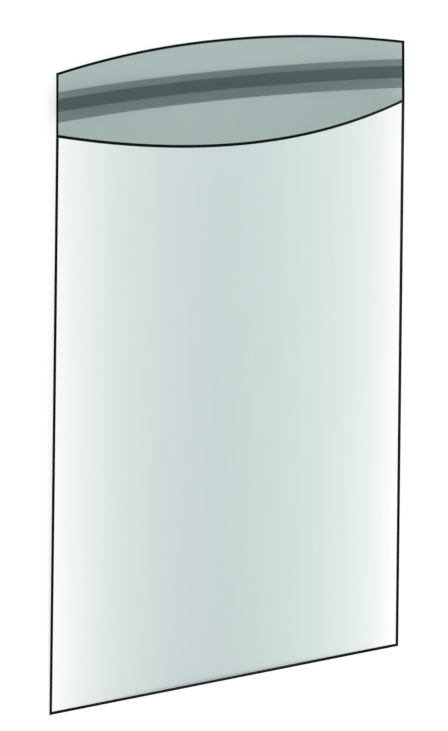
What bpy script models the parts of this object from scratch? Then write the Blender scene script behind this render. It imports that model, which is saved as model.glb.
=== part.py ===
"""Clear self-seal film bag, lying on its back panel with the mouth bowed open.

X runs across the bag, -Y towards the mouth and the flap, +Z up. The origin is at the
centre of the bottom of the bag's box. Lengths are in metres.
"""

import math

import bmesh
import bpy

# Sizes of the flat bag
BAG_WIDTH = 0.195
POCKET_LENGTH = 0.307
FLAP_LENGTH = 0.028
FLAP_CROWN = 0.0061
FILM_THICKNESS = 0.00005
FOLD_RADIUS = 0.00025
WELD_RADIUS = 0.0003
WELD_OVERRUN = 0.0001

# Form that the open bag takes at rest
MOUTH_BOW = 0.0405
MOUTH_BOW_LEAN = 0.20
BOW_GROWTH = 0.7
BACK_SAG = 0.0100

# Sealing strip on the inner face of the flap
ADHESIVE_WIDTH = 0.0058
ADHESIVE_THICKNESS = 0.00005
ADHESIVE_EDGE_DISTANCE = 0.0120
LINER_WIDTH = 0.0139
LINER_THICKNESS = 0.00005
LINER_EDGE_DISTANCE = 0.0087
LAYER_CLEARANCE = 0.0003
STRIP_SIDE_CLEARANCE = 0.0003

# Fineness of the mesh. The number of columns is odd, so that the middle one is flat.
COLUMNS = 25
FRONT_ROWS = 14
FOLD_STEPS = 4
BACK_ROWS = 10
FLAP_ROWS = 4
ROW_CROWDING = 1.6
WELD_SIDES = 8
WELD_STATIONS = 16


def clear_scene():
    """Start from an empty scene."""
    for obj in list(bpy.data.objects):
        bpy.data.objects.remove(obj, do_unlink=True)


def make_material(name, colour, roughness, alpha):
    """A plain Principled material."""
    material = bpy.data.materials.new(name)
    material.use_nodes = True
    shader = material.node_tree.nodes["Principled BSDF"]
    shader.inputs["Base Color"].default_value = (*colour, 1.0)
    shader.inputs["Roughness"].default_value = roughness
    shader.inputs["Alpha"].default_value = alpha
    return material


def sag_share(t):
    """Share of the back panel's sag at t, from -1 to 1 across. The middle column is level."""
    level = 1.0 / COLUMNS
    outward = max(0.0, (abs(t) - level) / (1.0 - level))
    return 1.0 - outward**2


def bow_share(t):
    """Share of the front panel's bow at t: a parabola that leans towards +X."""
    return (1.0 - t**2) * (1.0 + MOUTH_BOW_LEAN * t)


def lip_length(chord):
    """Length of the front lip when the side welds stand this far apart at the mouth."""
    steps = 64
    total = 0.0
    for i in range(steps):
        t0 = 2.0 * i / steps - 1.0
        t1 = 2.0 * (i + 1) / steps - 1.0
        rise = MOUTH_BOW * (bow_share(t1) - bow_share(t0))
        total += math.hypot((t1 - t0) * chord / 2.0, rise)
    return total


def mouth_chord():
    """Distance between the welds at the mouth that keeps the lip as long as when flat."""
    flat = BAG_WIDTH - 2.0 * WELD_RADIUS
    low = 0.3 * flat
    high = flat
    for _ in range(40):
        middle = (low + high) / 2.0
        if lip_length(middle) > flat:
            high = middle
        else:
            low = middle
    return (low + high) / 2.0


def half_width(v):
    """Distance of a side weld's centre from the middle, at v from the bottom fold."""
    flat = BAG_WIDTH / 2.0 - WELD_RADIUS
    drawn_in = flat - MOUTH_CHORD / 2.0
    return flat - drawn_in * v / POCKET_LENGTH


def weld_height(v):
    """Height of a side weld's centre: it climbs from the fold to the mouth, then runs level."""
    share = min(max(v / POCKET_LENGTH, 0.0), 1.0)
    return WELD_RADIUS + BACK_SAG * share


def back_height(t, v):
    """Height of the outer face of the back panel and the flap."""
    return (weld_height(v) - FOLD_RADIUS) * (1.0 - sag_share(t))


def front_height(t, v):
    """Height of the outer face of the front panel."""
    share = max(v - FOLD_RADIUS, 0.0) / (POCKET_LENGTH - FOLD_RADIUS)
    return weld_height(v) + FOLD_RADIUS + MOUTH_BOW * share**BOW_GROWTH * bow_share(t)


def place(t, v, z):
    """Point at t across, v up the bag from its bottom fold, and height z."""
    middle = (POCKET_LENGTH + FLAP_LENGTH + FLAP_CROWN - WELD_OVERRUN) / 2.0
    return (t * half_width(v), middle - v, z)


def column_positions():
    """Places of the columns across, from -1 to 1."""
    return [2.0 * i / COLUMNS - 1.0 for i in range(COLUMNS + 1)]


def panel_lengths(rows):
    """Distances from the bottom fold, closest together near it."""
    run = POCKET_LENGTH - FOLD_RADIUS
    return [FOLD_RADIUS + run * (i / rows) ** ROW_CROWDING for i in range(rows + 1)]


def front_row(v):
    """One row of points across the front panel."""
    return [place(t, v, front_height(t, v)) for t in column_positions()]


def fold_row(angle):
    """One row of points round the bottom fold, from the front at 0 to the back at pi."""
    points = []
    for t in column_positions():
        top = front_height(t, FOLD_RADIUS)
        bottom = back_height(t, FOLD_RADIUS)
        v = FOLD_RADIUS * (1.0 - math.sin(angle))
        z = (top + bottom) / 2.0 + (top - bottom) / 2.0 * math.cos(angle)
        points.append(place(t, v, z))
    return points


def back_row(v):
    """One row of points across the back panel."""
    return [place(t, v, back_height(t, v)) for t in column_positions()]


def flap_row(share):
    """One row across the flap, from the mouth at 0 to its crowned free edge at 1."""
    points = []
    for t in column_positions():
        reach = FLAP_LENGTH + FLAP_CROWN * (1.0 - t**2)
        points.append(place(t, POCKET_LENGTH + reach * share, back_height(t, POCKET_LENGTH)))
    return points


def skin_from_rows(rows):
    """Loft a skin through rows of points, each row made by extruding the one before."""
    bm = bmesh.new()
    verts = [bm.verts.new(point) for point in rows[0]]
    edges = [bm.edges.new(pair) for pair in zip(verts, verts[1:])]
    for row in rows[1:]:
        made = bmesh.ops.extrude_edge_only(bm, edges=edges)
        new_verts = [g for g in made["geom"] if isinstance(g, bmesh.types.BMVert)]
        edges = [
            g
            for g in made["geom"]
            if isinstance(g, bmesh.types.BMEdge) and all(v in new_verts for v in g.verts)
        ]
        new_verts.sort(key=lambda v: v.co.x)
        for vert, point in zip(new_verts, row):
            vert.co = point
    # Both faces of the film must bend along the same diagonals, or they would cross.
    bmesh.ops.triangulate(bm, faces=bm.faces[:])
    return bm


def finish_object(name, bm, material):
    """Make a named object of the mesh."""
    mesh = bpy.data.meshes.new(name)
    bm.to_mesh(mesh)
    bm.free()
    mesh.materials.append(material)
    obj = bpy.data.objects.new(name, mesh)
    bpy.context.scene.collection.objects.link(obj)
    return obj


def thicken(obj, thickness, offset):
    """Give a skin its real thickness on one side."""
    solidify = obj.modifiers.new("Thickness", "SOLIDIFY")
    solidify.thickness = thickness
    solidify.offset = offset
    solidify.use_even_offset = True
    solidify.use_quality_normals = True


def smooth(obj):
    """Smooth shading, with the cut edges kept sharp."""
    obj.data.shade_smooth()
    obj.data.set_sharp_from_angle(angle=math.radians(40.0))


def make_side_weld(side):
    """Round bead that the hot knife leaves along one side, from the fold to the flap's corner."""
    bm = bmesh.new()
    loops = []
    start = -WELD_OVERRUN
    end = POCKET_LENGTH + FLAP_LENGTH + WELD_OVERRUN
    stations = [start + (end - start) * i / WELD_STATIONS for i in range(WELD_STATIONS + 1)]
    stations = sorted(stations + [POCKET_LENGTH])
    for v in stations:
        x, y, z = place(side, v, weld_height(v))
        ring = []
        for i in range(WELD_SIDES):
            angle = 2.0 * math.pi * (i + 0.5) / WELD_SIDES
            offset_x = WELD_RADIUS * math.cos(angle)
            offset_z = WELD_RADIUS * math.sin(angle)
            ring.append(bm.verts.new((x + offset_x, y, z + offset_z)))
        loops.append([bm.edges.new((a, b)) for a, b in zip(ring, ring[1:] + ring[:1])])
    for near, far in zip(loops, loops[1:]):
        bmesh.ops.bridge_loops(bm, edges=near + far)
    bmesh.ops.contextual_create(bm, geom=loops[0])
    bmesh.ops.contextual_create(bm, geom=loops[-1])
    bmesh.ops.recalc_face_normals(bm, faces=bm.faces[:])
    return bm


def make_bag_film(material):
    """The folded film with its welds: front panel, bottom fold, back panel and flap."""
    rows = [front_row(v) for v in reversed(panel_lengths(FRONT_ROWS))]
    rows += [fold_row(math.pi * i / FOLD_STEPS) for i in range(1, FOLD_STEPS)]
    rows += [back_row(v) for v in panel_lengths(BACK_ROWS)]
    rows += [flap_row(i / FLAP_ROWS) for i in range(1, FLAP_ROWS + 1)]
    bm = skin_from_rows(rows)
    bmesh.ops.recalc_face_normals(bm, faces=bm.faces[:])
    film = finish_object("bag_film", bm, material)
    thicken(film, FILM_THICKNESS, -1.0)
    for side, label in ((-1.0, "left"), (1.0, "right")):
        weld = finish_object("weld_" + label, make_side_weld(side), material)
        weld.hide_render = True
        weld.display_type = "WIRE"
        joined = film.modifiers.new("Weld " + label, "BOOLEAN")
        joined.operation = "UNION"
        joined.solver = "EXACT"
        joined.object = weld
    smooth(film)
    return film


def make_strip(name, width, thickness, edge_distance, lift, material):
    """A flat strip across the flap, lying at lift above the film's inner face."""
    rows = []
    near = POCKET_LENGTH + FLAP_LENGTH - edge_distance - width
    for v in (near, near + width):
        trim = 1.0 - (WELD_RADIUS + STRIP_SIDE_CLEARANCE) / half_width(v)
        row = []
        for t in column_positions():
            height = back_height(t * trim, v) + FILM_THICKNESS + lift
            row.append(place(t * trim, v, height))
        rows.append(row)
    bm = skin_from_rows(rows)
    for face in bm.faces:
        face.normal_update()
        if face.normal.z < 0.0:
            face.normal_flip()
    strip = finish_object(name, bm, material)
    thicken(strip, thickness, 1.0)
    smooth(strip)
    return strip


MOUTH_CHORD = mouth_chord()


def main():
    """Build the bag."""
    clear_scene()
    film = make_material("film_clear", (0.78, 0.84, 0.84), 0.12, 0.35)
    adhesive = make_material("adhesive_grey", (0.12, 0.15, 0.15), 0.45, 1.0)
    liner = make_material("liner_grey", (0.25, 0.31, 0.31), 0.35, 1.0)
    make_bag_film(film)
    make_strip(
        "adhesive_strip",
        ADHESIVE_WIDTH,
        ADHESIVE_THICKNESS,
        ADHESIVE_EDGE_DISTANCE,
        LAYER_CLEARANCE,
        adhesive,
    )
    make_strip(
        "release_liner",
        LINER_WIDTH,
        LINER_THICKNESS,
        LINER_EDGE_DISTANCE,
        2.0 * LAYER_CLEARANCE + ADHESIVE_THICKNESS,
        liner,
    )


main()
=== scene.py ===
# %% [markdown]
# # A clear self-seal film bag
#
# The object is one sheet of thin, clear film. It is folded at the bottom and welded along
# both sides, and its back runs on past the mouth as a flap. Across the flap lies a band of
# adhesive under a peel-off liner. An empty film bag can't stand, so it lies on its back
# with its mouth bowed open, and the camera looks down on it.
#
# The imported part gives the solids. This script adds what makes them look real: a finer
# skin for the film, a finish for each piece, a floor, light and a camera.

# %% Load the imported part
import math

import bmesh
import bpy
from mathutils import Matrix, Vector


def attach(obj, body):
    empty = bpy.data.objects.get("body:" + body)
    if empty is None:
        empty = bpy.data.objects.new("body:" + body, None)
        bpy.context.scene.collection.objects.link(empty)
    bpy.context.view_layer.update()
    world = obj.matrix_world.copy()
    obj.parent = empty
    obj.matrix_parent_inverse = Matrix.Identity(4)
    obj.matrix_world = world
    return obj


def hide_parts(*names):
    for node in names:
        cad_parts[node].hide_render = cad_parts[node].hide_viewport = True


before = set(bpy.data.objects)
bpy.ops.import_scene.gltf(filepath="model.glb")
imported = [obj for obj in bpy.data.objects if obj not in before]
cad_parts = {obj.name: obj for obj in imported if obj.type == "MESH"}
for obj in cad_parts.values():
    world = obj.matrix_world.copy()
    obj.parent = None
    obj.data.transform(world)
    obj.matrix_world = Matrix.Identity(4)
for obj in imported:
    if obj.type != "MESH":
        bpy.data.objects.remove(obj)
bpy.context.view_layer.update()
print("nodes:", sorted(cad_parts))

# %% [markdown]
# ## Sizes of the bag
#
# These are the sizes of the part's own source, in metres. They are repeated here, because
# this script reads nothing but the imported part. Two directions describe every place on the
# film. `v` runs up the bag from its bottom fold, along -Y, and `t` runs across it, from -1
# at one side weld to 1 at the other.

# %% Sizes of the bag
BAG_WIDTH = 0.195
POCKET_LENGTH = 0.307
FLAP_LENGTH = 0.028
FLAP_CROWN = 0.0061
FILM_THICKNESS = 0.00005
FOLD_RADIUS = 0.00025
WELD_RADIUS = 0.0003
WELD_OVERRUN = 0.0001
MOUTH_BOW = 0.0405
MOUTH_BOW_LEAN = 0.20
BOW_GROWTH = 0.7
BACK_SAG = 0.0100
MIDDLE = (POCKET_LENGTH + FLAP_LENGTH + FLAP_CROWN - WELD_OVERRUN) / 2.0
print("half of the bag's length:", round(MIDDLE, 4))

# %% [markdown]
# ## How the open film lies
#
# Film bends but doesn't stretch. When the front panel bows up, its lip stays as long as the
# bag is wide, so the two side welds are drawn in towards each other at the mouth. A cloth
# simulation could open the bag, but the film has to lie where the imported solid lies, so it
# follows the same formulas. Only the distance left between the welds has no formula. It is
# found by halving an interval until the lip's length comes out right.

# %% The bowed lip
FLAT_LIP = BAG_WIDTH - 2.0 * WELD_RADIUS
LIP_STEPS = 64
SHORTEST_SHARE = 0.3
HALVINGS = 30


def bow_share(t):
    """Height of the bowed front panel at t, as a share of its height in the middle."""
    return (1.0 - t**2) * (1.0 + MOUTH_BOW_LEAN * t)


def lip_length(chord):
    """Length of the lip when the side welds stand this far apart."""
    places = [2.0 * i / LIP_STEPS - 1.0 for i in range(LIP_STEPS + 1)]
    total = 0.0
    for near, far in zip(places, places[1:]):
        rise = MOUTH_BOW * (bow_share(far) - bow_share(near))
        total += math.hypot((far - near) * chord / 2.0, rise)
    return total


shortest, longest = SHORTEST_SHARE * FLAT_LIP, FLAT_LIP
for _ in range(HALVINGS):
    mouth_chord = (shortest + longest) / 2.0
    if lip_length(mouth_chord) > FLAT_LIP:
        longest = mouth_chord
    else:
        shortest = mouth_chord
print("between the welds at the mouth:", round(mouth_chord, 4))

# %% [markdown]
# Four short functions then say where the film lies. The welds climb a little from the fold
# to the mouth, the back panel sags between them until its middle touches the floor, and
# the front panel rises most where the mouth is open.

# %% Heights and widths
LEVEL_SHARE = 0.04


def half_width(v):
    """Distance of a side weld from the middle of the bag."""
    flat = FLAT_LIP / 2.0
    return flat - (flat - mouth_chord / 2.0) * v / POCKET_LENGTH


def weld_height(v):
    """Height of a side weld's centre."""
    return WELD_RADIUS + BACK_SAG * min(max(v / POCKET_LENGTH, 0.0), 1.0)


def back_height(t, v):
    """Height of the back panel and of the flap. The narrow middle is level."""
    outward = max(0.0, (abs(t) - LEVEL_SHARE) / (1.0 - LEVEL_SHARE))
    return (weld_height(v) - FOLD_RADIUS) * outward**2 + FILM_THICKNESS / 2.0


def front_height(t, v):
    """Height of the front panel."""
    share = max(v - FOLD_RADIUS, 0.0) / (POCKET_LENGTH - FOLD_RADIUS)
    rise = MOUTH_BOW * share**BOW_GROWTH * bow_share(t)
    return weld_height(v) + FOLD_RADIUS + rise - FILM_THICKNESS / 2.0


print("height of the lip:", round(front_height(0.0, POCKET_LENGTH), 4))

# %% [markdown]
# ## The film
#
# The real bag starts as one flat blank, and so does this one: a single grid. Its rows run
# from the front lip, round the bottom fold, up the back and on to the flap's free edge, and
# each vertex is then moved to where the film lies. Two panels joined at the bottom would be
# quicker to make, but they would leave a seam at the fold. The film's thickness of a
# twentieth of a millimetre is too little to see, so the sheet stays a single skin.
#
# A cut, folded or welded edge of clear film looks dark, because light that enters the film
# there doesn't come out towards the eye. That shade is painted on: the outermost row and
# column of faces on every side are as wide as that dark line, so that they can get a dark
# finish of their own. The line is wider where the camera sees the film at a low angle, at the
# bottom fold and along the low side at -X. It is narrower along the high side at +X, which
# faces the camera.

# %% Widths of the dark lines
LIP_LINE = 0.00142
FLAP_LINE = 0.00125
FOLD_LINE_SIDE = 0.0019
FOLD_LINE_MIDDLE = 0.0028
LOW_SIDE_LINE = (0.0014, 0.0023, 0.00097)
HIGH_SIDE_LINE = (0.0010, 0.0008, 0.00108)


def fold_line(t):
    """Width of the dark line along the bottom fold."""
    return FOLD_LINE_SIDE + (FOLD_LINE_MIDDLE - FOLD_LINE_SIDE) * (1.0 - t**2)


def side_line(widths, panel, v):
    """Width of a side's dark line, from its widths at the fold, the mouth and the flap."""
    at_fold, at_mouth, at_flap = widths
    if panel in ("back", "flap", "flap edge"):
        return at_flap
    return at_fold + (at_mouth - at_fold) * v / POCKET_LENGTH


print("dark line at the lip, mm:", round(LIP_LINE * 1000.0, 2))

# %% Rows and columns of the blank
COLUMNS = 64
FRONT_ROWS = 60
FOLD_ROWS = 6
BACK_ROWS = 40
FLAP_ROWS = 12
ROW_CROWDING = 1.4

panel_shares = [(i / FRONT_ROWS) ** ROW_CROWDING for i in range(FRONT_ROWS + 1)]
rows = [("lip", 0.0)] + [("front", share) for share in reversed(panel_shares)]
rows += [("fold", i / FOLD_ROWS) for i in range(FOLD_ROWS + 1)]
rows += [("back", (i / BACK_ROWS) ** ROW_CROWDING) for i in range(BACK_ROWS + 1)]
rows += [("flap", i / FLAP_ROWS) for i in range(1, FLAP_ROWS)]
rows += [("flap edge", FLAP_LINE), ("flap edge", 0.0)]
# One column of vertices more than of faces, and one more at each side for the dark line
column_count = COLUMNS + 1 + 2
print("rows and columns of the blank:", len(rows), column_count)


# %% Where a point of the blank lies
def fold_point(t, turn):
    """A point of the bottom fold, where turn runs from 0 on the front to 1 on the back."""
    top, bottom = front_height(t, FOLD_RADIUS), back_height(t, FOLD_RADIUS)
    v = FOLD_RADIUS * (1.0 - math.sin(math.pi * turn)) + FILM_THICKNESS / 2.0
    z = (top + bottom) / 2.0 + (top - bottom) / 2.0 * math.cos(math.pi * turn)
    return Vector((t * half_width(v), MIDDLE - v, z))


def distance_up(t, panel, where):
    """Distance v of a point from the bottom fold, at where along its panel."""
    reach = FLAP_LENGTH + FLAP_CROWN * (1.0 - t**2)
    if panel == "front":
        low, high = fold_line(t), POCKET_LENGTH - LIP_LINE
    elif panel == "back":
        low, high = fold_line(t), POCKET_LENGTH
    elif panel == "flap":
        low, high = POCKET_LENGTH, POCKET_LENGTH + reach - FLAP_LINE
    else:
        return POCKET_LENGTH if panel == "lip" else POCKET_LENGTH + reach - where
    return low + (high - low) * where


def film_point(t, panel, where):
    """A point of the film, at t across and where along its panel."""
    if panel == "fold":
        return fold_point(t, where)
    v = distance_up(t, panel, where)
    height = front_height if panel in ("front", "lip") else back_height
    return Vector((t * half_width(v), MIDDLE - v, height(t, v)))


def column_place(column, panel, where):
    """Place t of a column in its row, with a dark line's width at either side."""
    if column in (0, column_count - 1):
        return -1.0 if column == 0 else 1.0
    v = 0.0 if panel == "fold" else distance_up(1.0, panel, where)
    half = BAG_WIDTH / 2.0
    low = -1.0 + side_line(LOW_SIDE_LINE, panel, v) / half
    high = 1.0 - side_line(HIGH_SIDE_LINE, panel, v) / half
    return low + (high - low) * (column - 1) / COLUMNS


print("corner of the flap:", [round(c, 4) for c in film_point(1.0, "flap edge", 0.0)])

# %% [markdown]
# The film's veil isn't the same all over, so three values are kept on every vertex for the
# finish. A painted picture could hold them, but values on the vertices need no picture and
# fit the film exactly. `front` is 1 on the front panel and 0 on the back. `across` is t.
# `outward` is 0 along the clear middle of the front and runs to -1 and 1 at its sides, where
# the painted sheen whitens the film. The clear middle leans a little to one side as the panel
# rises towards the mouth, so that from the camera it runs straight up the picture. A fourth
# value, `rim`, is 1 on the vertices of the outline, and any face that touches it is in the
# dark line, which is painted shade.

# %% Make the film
# Where the painted sheen's clear middle lies, and how it leans as the panel rises.
SHEEN_LEAN = 0.176
SHEEN_SHIFT = 0.03

blank = bmesh.new()
bmesh.ops.create_grid(
    blank, x_segments=column_count - 1, y_segments=len(rows) - 1, size=1.0
)
front_value = blank.verts.layers.float.new("front")
across_value = blank.verts.layers.float.new("across")
outward_value = blank.verts.layers.float.new("outward")
rim_value = blank.verts.layers.float.new("rim")
for vert in blank.verts:
    column = round((vert.co.x + 1.0) / 2.0 * (column_count - 1))
    row = round((1.0 - vert.co.y) / 2.0 * (len(rows) - 1))
    panel, where = rows[row]
    t = column_place(column, panel, where)
    vert.co = film_point(t, panel, where)
    vert[across_value] = t
    if panel in ("front", "lip"):
        rise = vert.co.z - weld_height(MIDDLE - vert.co.y)
        vert[front_value] = 1.0
        vert[outward_value] = t - SHEEN_SHIFT - SHEEN_LEAN * rise / MOUTH_BOW
    if abs(t) == 1.0 or panel == "fold" or row in (0, len(rows) - 1):
        vert[rim_value] = 1.0
print("vertices of the film:", len(blank.verts))

# %% Mark the edges and turn the faces outwards
blank.normal_update()
first_front = next(
    face for face in blank.faces if all(vert[front_value] == 1.0 for vert in face.verts)
)
if first_front.normal.z < 0.0:
    bmesh.ops.reverse_faces(blank, faces=blank.faces[:])
for face in blank.faces:
    face.smooth = True
    face.material_index = int(any(vert[rim_value] == 1.0 for vert in face.verts))
print("faces in the edge line:", sum(face.material_index for face in blank.faces))


# %% Keep the film as an object
def make_object(name, mesh_data):
    """An object at the origin, whose place is in its mesh."""
    mesh = bpy.data.meshes.new(name)
    mesh_data.to_mesh(mesh)
    mesh_data.free()
    made = bpy.data.objects.new(name, mesh)
    bpy.context.scene.collection.objects.link(made)
    return made


film = make_object("film", blank)
print("faces of the film:", len(film.data.polygons))

# %% [markdown]
# ## The side welds
#
# A hot knife cuts the folded web and melts both panels together in one go. It leaves no
# flat seam, only a fine round bead along each side. A curve with a round bevel would look
# the same. Here each bead is a row of circles along the side, bridged into a tube and closed
# at its ends, so that one circle can lie exactly at the mouth, where the side stops climbing.

# %% Make the side welds
WELD_SIDES = 12
WELD_STATIONS = 24

beads = bmesh.new()
bead_length = POCKET_LENGTH + FLAP_LENGTH + 2.0 * WELD_OVERRUN
stations = [bead_length * i / WELD_STATIONS - WELD_OVERRUN for i in range(WELD_STATIONS + 1)]
stations = sorted(stations + [POCKET_LENGTH])
upright = Matrix.Rotation(math.pi / 2.0, 3, "X")
for side in (-1.0, 1.0):
    rings = []
    for v in stations:
        made = bmesh.ops.create_circle(beads, segments=WELD_SIDES, radius=WELD_RADIUS)
        ring = made["verts"]
        bmesh.ops.rotate(beads, verts=ring, matrix=upright)
        centre = Vector((side * half_width(v), MIDDLE - v, weld_height(v)))
        bmesh.ops.translate(beads, verts=ring, vec=centre)
        ring_edges = dict.fromkeys(edge for vert in ring for edge in vert.link_edges)
        rings.append(list(ring_edges))
    for near, far in zip(rings, rings[1:]):
        bmesh.ops.bridge_loops(beads, edges=near + far)
    bmesh.ops.edgeloop_fill(beads, edges=rings[0])
    bmesh.ops.edgeloop_fill(beads, edges=rings[-1])
bmesh.ops.recalc_face_normals(beads, faces=beads.faces[:])
for face in beads.faces:
    face.smooth = len(face.verts) == 4
welds = make_object("side_welds", beads)
print("faces of the side welds:", len(welds.data.polygons))

# %% [markdown]
# ## Finishes
#
# Every finish is a Principled shader. A value that is the same all over goes straight into
# the shader's own socket. Where a pattern is linked to a socket, a plain value stays behind
# it for programs that can't read the pattern. A few helpers keep the node work short: one
# makes the material, one adds a Math node, one mixes two colours, one makes a noise pattern,
# and one turns a pattern into small bumps.

# %% Helpers for finishes
NOISE_DETAIL = 3.0


def new_finish(name, colour, roughness):
    """A Principled material, with its node tree and its shader."""
    finish = bpy.data.materials.new(name)
    finish.use_nodes = True
    shader = finish.node_tree.nodes["Principled BSDF"]
    shader.inputs["Base Color"].default_value = (*colour, 1.0)
    shader.inputs["Roughness"].default_value = roughness
    return finish, finish.node_tree, shader


def number(tree, operation, *values):
    """A Math node on sockets or plain numbers."""
    node = tree.nodes.new("ShaderNodeMath")
    node.operation = operation
    for socket, value in zip(node.inputs, values):
        if isinstance(value, float):
            socket.default_value = value
        else:
            tree.links.new(value, socket)
    return node.outputs["Value"]


def mixed_colour(tree, share, first, second):
    """A Mix node between two colours, each one a socket or a plain colour."""
    # The node has sockets for each kind of data. Inputs 6 and 7 and output 2 are the colours.
    node = tree.nodes.new("ShaderNodeMix")
    node.data_type = "RGBA"
    tree.links.new(share, node.inputs[0])
    for socket, value in zip((node.inputs[6], node.inputs[7]), (first, second)):
        if isinstance(value, tuple):
            socket.default_value = (*value, 1.0)
        else:
            tree.links.new(value, socket)
    return node.outputs[2]


def spots(tree, scale, stretch):
    """A noise pattern on the piece's own place in space, stretched along its axes."""
    place = tree.nodes.new("ShaderNodeTexCoord")
    mapping = tree.nodes.new("ShaderNodeMapping")
    mapping.inputs["Scale"].default_value = stretch
    noise = tree.nodes.new("ShaderNodeTexNoise")
    noise.inputs["Scale"].default_value = scale
    noise.inputs["Detail"].default_value = NOISE_DETAIL
    tree.links.new(place.outputs["Object"], mapping.inputs["Vector"])
    tree.links.new(mapping.outputs["Vector"], noise.inputs["Vector"])
    return noise.outputs["Fac"]


def add_bumps(tree, shader, height, depth):
    """Bend the shader's normal by a pattern, as if it stood up to depth metres high."""
    bump = tree.nodes.new("ShaderNodeBump")
    bump.inputs["Strength"].default_value = 1.0
    bump.inputs["Distance"].default_value = depth
    tree.links.new(height, bump.inputs["Height"])
    tree.links.new(bump.outputs["Normal"], shader.inputs["Normal"])


print("helpers: new_finish, number, mixed_colour, spots, add_bumps")

# %% [markdown]
# ### Clear film
#
# Thin film is mostly see-through, and what is seen of it is a veil. Glass with a thickness
# could be used for it, but film this thin doesn't bend what is seen through it. So alpha does
# the job, and other programs read it too.
#
# The back panel and the flap show a grey-green veil, the film's tint darkened with painted
# shade. The front panel's veil is paler, a painted sheen. Towards both sides it turns white
# and less see-through, as a painted reflection where the film turns away. Half-way to the
# side at -X, which is the right one in the picture, the painted sheen is a touch greener. So
# both the colour and the alpha follow the values on the vertices.
#
# What the veil hides from the eye, it doesn't hide from the light: clear film lets most
# light on to what lies behind it. So the veil counts in full only for what is seen, and
# only in part for light on its way to the bag's inside and to the floor.

# %% What is seen and what is lit
LIGHT_HELD = 0.35


def seen_share(tree):
    """1 for what the camera sees directly, in a reflection or through something clear."""
    rays = tree.nodes.new("ShaderNodeLightPath")
    seen = number(
        tree, "MAXIMUM", rays.outputs["Is Camera Ray"], rays.outputs["Is Glossy Ray"]
    )
    return number(tree, "MAXIMUM", seen, rays.outputs["Is Transmission Ray"])


def held_veil(tree, veil):
    """The veil in full for what is seen, and its LIGHT_HELD share for light passing by."""
    share = number(tree, "MULTIPLY_ADD", seen_share(tree), 1.0 - LIGHT_HELD, LIGHT_HELD)
    return number(tree, "MULTIPLY", veil, share)


print("share of the veil that holds light back:", LIGHT_HELD)

# %% Film colour and veil
BACK_VEIL = 0.70
FRONT_VEIL_MIDDLE = 0.60
SIDE_SHEEN_VEIL = 0.95
SHEEN_GROWTH = 2.0
FILM_ROUGHNESS = 0.12
FILM_IOR = 1.49
STREAK_DEPTH = 0.03
STREAK_SCALE = 40.0
STREAK_STRETCH = (6.0, 0.12, 6.0)
# The back's grey-green is the film's tint, darkened as painted shade.
BACK_TINT_AND_SHADE = (0.122, 0.249, 0.228)
# The front's colours are a painted sheen: paler in the middle and white at the sides, as a
# painted reflection.
FRONT_SHEEN_MIDDLE = (0.68, 0.775, 0.77)
FRONT_SHEEN_SIDE = (0.99, 0.985, 0.99)
GREENER_COLOUR = (0.77, 0.94, 0.90)

film_finish, tree, shader = new_finish("film_clear", BACK_TINT_AND_SHADE, FILM_ROUGHNESS)
shader.inputs["IOR"].default_value = FILM_IOR
values = {}
for name in ("front", "across", "outward"):
    node = tree.nodes.new("ShaderNodeAttribute")
    node.attribute_name = name
    values[name] = node.outputs["Fac"]
sideways = number(tree, "ABSOLUTE", values["outward"])
# Painted sheen: the front's alpha and colour turn white towards both sides.
side_sheen = number(tree, "POWER", sideways, SHEEN_GROWTH)
streaks = number(tree, "SUBTRACT", spots(tree, STREAK_SCALE, STREAK_STRETCH), 0.5)
veil_range = SIDE_SHEEN_VEIL - FRONT_VEIL_MIDDLE
front_veil = number(tree, "MULTIPLY_ADD", side_sheen, veil_range, FRONT_VEIL_MIDDLE)
more_than_back = number(tree, "SUBTRACT", front_veil, BACK_VEIL)
veil = number(tree, "MULTIPLY_ADD", more_than_back, values["front"], BACK_VEIL)
streaked_veil = number(tree, "MULTIPLY_ADD", streaks, STREAK_DEPTH, veil)
tree.links.new(held_veil(tree, streaked_veil), shader.inputs["Alpha"])
painted_sheen_colour = mixed_colour(tree, side_sheen, FRONT_SHEEN_MIDDLE, FRONT_SHEEN_SIDE)
to_the_right = number(tree, "MULTIPLY", values["outward"], -1.0)
right_share = number(tree, "MAXIMUM", to_the_right, 0.0)
greener = number(tree, "MULTIPLY", right_share, number(tree, "SUBTRACT", 1.0, side_sheen))
front_colour = mixed_colour(tree, greener, painted_sheen_colour, GREENER_COLOUR)
film_colour = mixed_colour(tree, values["front"], BACK_TINT_AND_SHADE, front_colour)
tree.links.new(film_colour, shader.inputs["Base Color"])
print("nodes for the film's colour and veil:", len(tree.nodes))

# %% [markdown]
# Blown film has faint streaks along its length, and the heat of the knife leaves small
# puckers beside each weld. Both are far too shallow to model. One stretched noise gives
# the streaks and another the puckers, which fade out within a few millimetres of the weld.
# They change the gloss a little, and bend it.

# %% Film streaks and puckers
PUCKER_FADE = 24.0
PUCKER_SHARE = 5.0
PUCKER_SCALE = 150.0
PUCKER_STRETCH = (0.3, 1.0, 0.3)
FILM_BUMP_DEPTH = 0.00006
STREAK_ROUGHNESS = 0.08

near_weld = number(tree, "POWER", number(tree, "ABSOLUTE", values["across"]), PUCKER_FADE)
pucker_spots = spots(tree, PUCKER_SCALE, PUCKER_STRETCH)
puckers = number(tree, "MULTIPLY", pucker_spots, near_weld)
relief = number(tree, "MULTIPLY_ADD", puckers, PUCKER_SHARE, streaks)
add_bumps(tree, shader, relief, FILM_BUMP_DEPTH)
gloss = number(tree, "MULTIPLY_ADD", streaks, STREAK_ROUGHNESS, FILM_ROUGHNESS)
tree.links.new(gloss, shader.inputs["Roughness"])
print("depth of the streaks, mm:", round(FILM_BUMP_DEPTH * 1000.0, 2))

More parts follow.
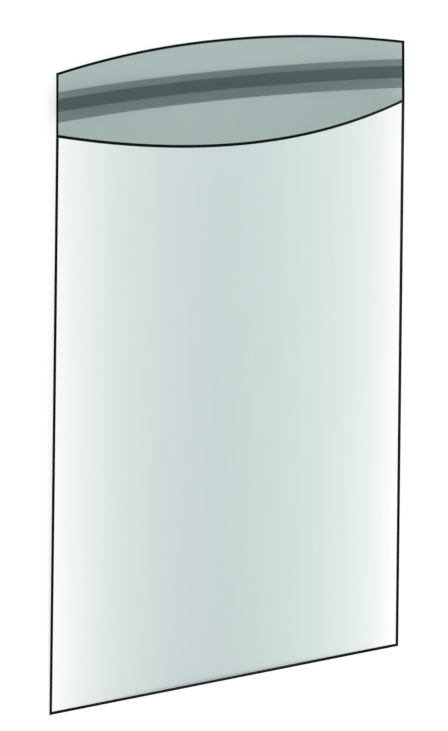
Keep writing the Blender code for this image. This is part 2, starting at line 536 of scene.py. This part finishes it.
# %% [markdown]
# ### Dark edges
#
# The cut, folded and welded edges are painted almost black, with hardly any shine, as painted
# shade where light doesn't come out of the film. The welds were molten, so their gloss comes
# and goes a little along their length. Thin black tubes could be laid along the edges
# instead, but the edge belongs to the film and is no piece of its own. So it gets a second
# material on the same sheet.

# %% Edge finish
# Painted shade: the near-black colour of every edge line.
EDGE_SHADE_COLOUR = (0.002, 0.004, 0.0035)
EDGE_SHINE = 0.05
EDGE_ROUGHNESS = 0.4
EDGE_ROUGHNESS_RANGE = 0.2
EDGE_SCALE = 300.0
EDGE_STRETCH = (1.0, 0.3, 1.0)

edge_finish, tree, shader = new_finish("film_edge", EDGE_SHADE_COLOUR, EDGE_ROUGHNESS)
shader.inputs["Specular IOR Level"].default_value = EDGE_SHINE
edge_gloss = number(
    tree,
    "MULTIPLY_ADD",
    spots(tree, EDGE_SCALE, EDGE_STRETCH),
    EDGE_ROUGHNESS_RANGE,
    EDGE_ROUGHNESS,
)
tree.links.new(edge_gloss, shader.inputs["Roughness"])
print("edge colour:", EDGE_SHADE_COLOUR)

# %% Put the finishes on the film and its welds
film.data.materials.append(film_finish)
film.data.materials.append(edge_finish)
# The weld beads carry the edge's painted shade too.
welds.data.materials.append(edge_finish)
print("film materials:", [material.name for material in film.data.materials])

# %% [markdown]
# ### Adhesive and liner
#
# The adhesive is a dark, tacky band. The liner over it is wider and lets the band show
# through as a darker stripe between two lighter margins. Each band keeps its imported solid,
# which already has the right shape, and only gets a better finish. The adhesive is spread
# a little unevenly, and the liner has a fine grain along its length.
#
# The hot knife that welds the sides cuts both bands too. Each end is painted as dark as the
# film's own edge, up to a set distance from the weld, as painted shade that carries the
# edge's dark line across the bands. Dark tips could be pieces of their own, but the distance
# alone says where the painted end is. The weld leans in towards the mouth, so the distance is
# measured from a line that leans with it. The bands stand a little above the film, and a
# camera that leans to +X sees them cover more of the film's dark line at -X. So the middle is
# shifted a little to +X, which makes the dark end at -X the longer one.

# %% Painted shade on the band ends
END_SHADE_REACH = 0.00085
END_SHADE_SHIFT = 0.0002
BAND_SHINE = 0.5
WELD_LEAN_IN = (half_width(0.0) - half_width(POCKET_LENGTH)) / POCKET_LENGTH


def paint_end_shade(tree, shader, colour):
    """Paint a band's ends dark with the edge's painted shade, and return 1 on them and 0
    elsewhere.
    """
    place = tree.nodes.new("ShaderNodeTexCoord")
    parts = tree.nodes.new("ShaderNodeSeparateXYZ")
    tree.links.new(place.outputs["Object"], parts.inputs["Vector"])
    shifted = number(tree, "SUBTRACT", parts.outputs["X"], END_SHADE_SHIFT)
    from_middle = number(tree, "ABSOLUTE", shifted)
    clear_half = half_width(MIDDLE) - END_SHADE_REACH
    shade_line = number(tree, "MULTIPLY_ADD", parts.outputs["Y"], WELD_LEAN_IN, clear_half)
    painted_shade = number(tree, "GREATER_THAN", from_middle, shade_line)
    with_ends = mixed_colour(tree, painted_shade, colour, EDGE_SHADE_COLOUR)
    shine = number(tree, "MULTIPLY_ADD", painted_shade, EDGE_SHINE - BAND_SHINE, BAND_SHINE)
    tree.links.new(with_ends, shader.inputs["Base Color"])
    tree.links.new(shine, shader.inputs["Specular IOR Level"])
    return painted_shade


print("melted end, mm from the weld:", round(END_SHADE_REACH * 1000.0, 2))

# %% Adhesive finish
BAND_ROUGHNESS = 0.3
ADHESIVE_COLOUR = (0.026, 0.036, 0.036)
ADHESIVE_DARKEST = (0.022, 0.031, 0.031)
ADHESIVE_LIGHTEST = (0.030, 0.041, 0.041)
LUMP_SCALE = 500.0
LUMP_STRETCH = (0.4, 1.0, 1.0)
LUMP_ROUGHNESS = 0.2
LUMP_DEPTH = 0.00002

adhesive_finish, tree, shader = new_finish("adhesive_grey", ADHESIVE_COLOUR, BAND_ROUGHNESS)
lumps = spots(tree, LUMP_SCALE, LUMP_STRETCH)
paint_end_shade(tree, shader, mixed_colour(tree, lumps, ADHESIVE_DARKEST, ADHESIVE_LIGHTEST))
lump_gloss = number(tree, "MULTIPLY_ADD", lumps, LUMP_ROUGHNESS, BAND_ROUGHNESS)
tree.links.new(lump_gloss, shader.inputs["Roughness"])
add_bumps(tree, shader, lumps, LUMP_DEPTH)
print("lumps of the adhesive, mm:", round(1000.0 / LUMP_SCALE, 1))

# %% Liner finish
LINER_VEIL = 0.42
LINER_COLOUR = (0.083, 0.143, 0.143)
LINER_DARKEST = (0.077, 0.134, 0.134)
LINER_LIGHTEST = (0.089, 0.152, 0.152)
GRAIN_SCALE = 700.0
GRAIN_STRETCH = (0.12, 1.0, 1.0)
GRAIN_ROUGHNESS = 0.15
GRAIN_DEPTH = 0.000006

liner_finish, tree, shader = new_finish("liner_grey", LINER_COLOUR, BAND_ROUGHNESS)
grain = spots(tree, GRAIN_SCALE, GRAIN_STRETCH)
# The liner's ends get the painted shade of the edge line and are opaque.
painted_shade = paint_end_shade(tree, shader, mixed_colour(tree, grain, LINER_DARKEST, LINER_LIGHTEST))
tree.links.new(number(tree, "MAXIMUM", painted_shade, LINER_VEIL), shader.inputs["Alpha"])
grain_gloss = number(tree, "MULTIPLY_ADD", grain, GRAIN_ROUGHNESS, BAND_ROUGHNESS)
tree.links.new(grain_gloss, shader.inputs["Roughness"])
add_bumps(tree, shader, grain, GRAIN_DEPTH)
print("grain of the liner, mm:", round(1000.0 / GRAIN_SCALE, 1))

# %% Put the finishes on the bands
for node, finish in (("adhesive_strip", adhesive_finish), ("release_liner", liner_finish)):
    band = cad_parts[node]
    band.data.materials.clear()
    band.data.materials.append(finish)
    print(node, "is finished with", finish.name)

# %% [markdown]
# ## Floor and sky
#
# The background is white. That comes from the floor's and the sky's own colour for what is
# seen, also in a reflection or through the film. A stronger lamp would whiten the floor too,
# but it would wash out the film. The floor still takes the bag's shadow. It lies a hair
# lower than the film, because two surfaces in the same place would show through each other.
# The sky gives most of the light, so that every side of the bow is lit about alike.

# %% Floor
FLOOR_DROP = 0.0003
FLOOR_HALF = 6.0
FLOOR_GREY = 0.62
FLOOR_GLOW = 0.45
FLOOR_ROUGHNESS = 0.9
WHITE = (1.0, 1.0, 1.0, 1.0)

ground = bmesh.new()
bmesh.ops.create_grid(ground, x_segments=1, y_segments=1, size=FLOOR_HALF)
bmesh.ops.translate(ground, verts=ground.verts[:], vec=(0.0, 0.0, -FLOOR_DROP))
floor = make_object("floor", ground)
floor_finish, tree, shader = new_finish("floor_white", (FLOOR_GREY,) * 3, FLOOR_ROUGHNESS)
shader.inputs["Specular IOR Level"].default_value = 0.0
shader.inputs["Emission Color"].default_value = WHITE
glow = number(tree, "MULTIPLY", seen_share(tree), FLOOR_GLOW)
tree.links.new(glow, shader.inputs["Emission Strength"])
floor.data.materials.append(floor_finish)
print("floor:", 2.0 * FLOOR_HALF, "m square")

# %% Sky
SKY_LIGHT = 0.86

world = bpy.data.worlds.new("sky")
bpy.context.scene.world = world
world.use_nodes = True
tree = world.node_tree
background = tree.nodes["Background"]
background.inputs["Color"].default_value = WHITE
sky_strength = number(tree, "MULTIPLY_ADD", seen_share(tree), 1.0 - SKY_LIGHT, SKY_LIGHT)
tree.links.new(sky_strength, background.inputs["Strength"])
bpy.context.scene.view_settings.view_transform = "Standard"
print("sky light:", SKY_LIGHT)

# %% [markdown]
# ## Lamp
#
# One large, soft lamp stands above the mouth's end, so that it lights the inside of the
# bag. A small lamp would leave a hard bright spot on film this glossy. It is kept out of the
# direction in which the film would mirror it to the camera.

# %% Lamp
LAMP_PLACE = Vector((0.3, -0.9, 2.2))
LAMP_SIZE = 2.2
LAMP_POWER = 17.5

lamp_data = bpy.data.lights.new("overhead", "AREA")
lamp_data.shape = "SQUARE"
lamp_data.size = LAMP_SIZE
lamp_data.energy = LAMP_POWER
lamp = bpy.data.objects.new("overhead", lamp_data)
lamp.location = LAMP_PLACE
lamp.rotation_mode = "QUATERNION"
lamp.rotation_quaternion = (-LAMP_PLACE).to_track_quat("-Z", "Y")
bpy.context.scene.collection.objects.link(lamp)
print("lamp at", [round(c, 2) for c in LAMP_PLACE])

# %% [markdown]
# ## Camera
#
# The camera looks down on the bag, turned so that the mouth is at the top of the picture.
# A Track To constraint could aim it. Two angles say more plainly where it stands: how far it
# leans towards the mouth, and how far it leans to one side. Its three axes follow from them,
# with a very small roll.

# %% Camera
LEAN = math.radians(22.65)
SIDE = math.radians(20.32)
ROLL = math.radians(-0.16)
DISTANCE = 0.991
AIM = Vector((0.00215, MIDDLE - 0.17855, 0.0))
LENS_MM = 99.61
SENSOR_MM = 36.0
TO_MOUTH = Vector((0.0, -1.0, 0.0))

backward = Vector((
    math.sin(SIDE) * math.cos(LEAN),
    -math.sin(LEAN),
    math.cos(SIDE) * math.cos(LEAN),
))
level_right = TO_MOUTH.cross(backward).normalized()
level_up = backward.cross(level_right)
camera_right = math.cos(ROLL) * level_right + math.sin(ROLL) * level_up
camera_up = math.cos(ROLL) * level_up - math.sin(ROLL) * level_right

camera_data = bpy.data.cameras.new("camera")
camera_data.sensor_width = SENSOR_MM
camera_data.lens = LENS_MM
camera = bpy.data.objects.new("camera", camera_data)
axes = Matrix((camera_right, camera_up, backward)).transposed()
camera.matrix_world = Matrix.Translation(AIM + DISTANCE * backward) @ axes.to_4x4()
bpy.context.scene.collection.objects.link(camera)
bpy.context.scene.camera = camera
print("camera at", [round(c, 3) for c in camera.matrix_world.translation])

# %% [markdown]
# ## Join the looks to the part
#
# Each new piece rides on the part's only body. The film stands for the imported film, and the
# two bands keep their solids. The film is one sheet, a rectangle with the flap's crown added,
# which is a parabola and so fills two thirds of the box around it.

for piece in (film, welds):
    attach(piece, "root")
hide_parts("bag_film")
